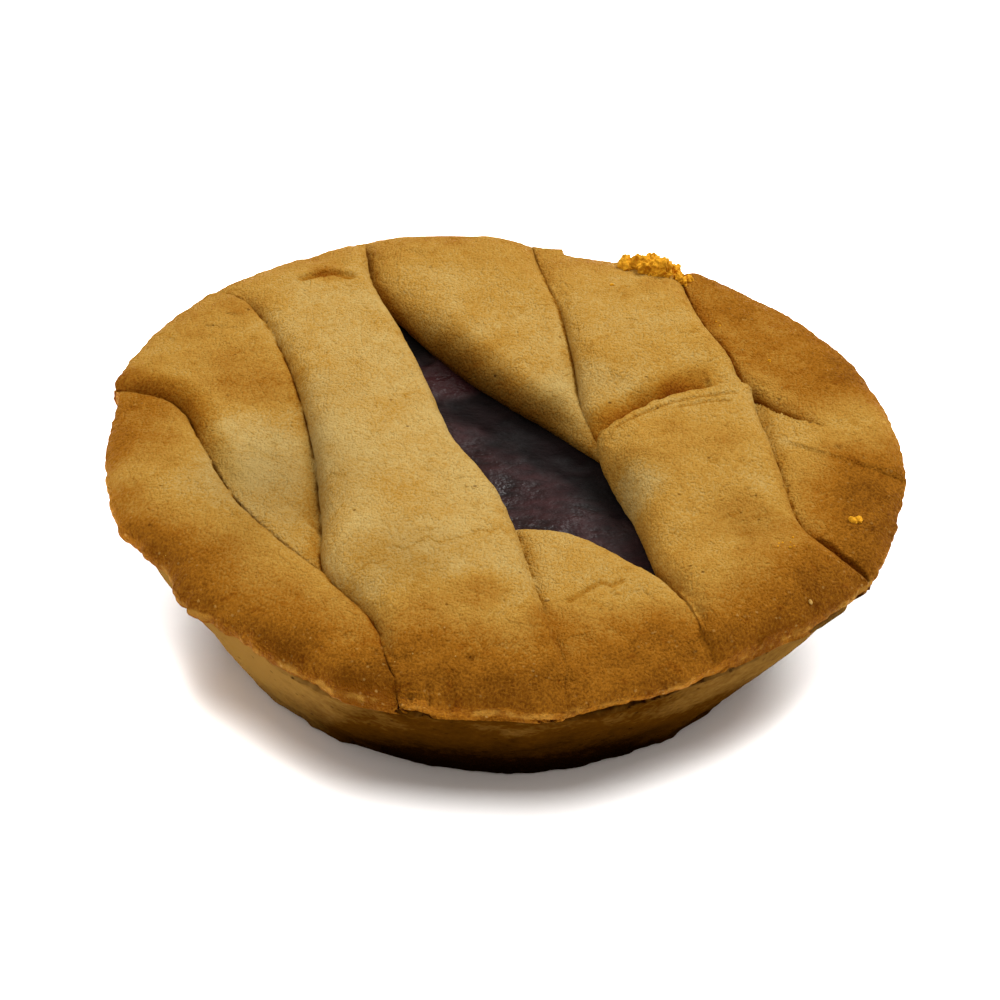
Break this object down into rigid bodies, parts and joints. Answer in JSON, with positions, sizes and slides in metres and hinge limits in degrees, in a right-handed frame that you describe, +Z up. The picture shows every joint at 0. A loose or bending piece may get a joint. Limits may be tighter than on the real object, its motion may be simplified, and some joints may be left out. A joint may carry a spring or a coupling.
{
  "type": "cherry crostata",
  "caption": "Small round shortcrust crostata with a tapered case and a lattice of wide dough bands that leaves one opening onto dark cherry jam.",
  "frame": {"origin": "centre of the flat base of the case, where it rests", "axes": "+Z up, -Y towards the side shown in front in the picture, +X to the right of it"},
  "size_m": [0.0998, 0.1002, 0.0272],
  "materials": {
    "case_crust": "baked shortcrust pastry, golden brown, dry and grainy",
    "rim_crust": "baked shortcrust pastry, browned at the rim, dry and grainy",
    "band_crust": "baked shortcrust pastry, pale golden, dry and grainy",
    "cherry_jam": "set cherry jam, almost black purple, with a wrinkled half-glossy skin"
  },
  "bodies": {
    "root": {"pastry_case": "case_crust", "cherry_jam": "cherry_jam", "rim_band_left": "rim_crust", "rim_band_right": "rim_crust", "band_under_left": "band_crust", "band_under_right": "band_crust", "band_over_left": "band_crust", "band_over_right_back": "band_crust", "band_over_right_front": "band_crust"}
  },
  "joints": []
}
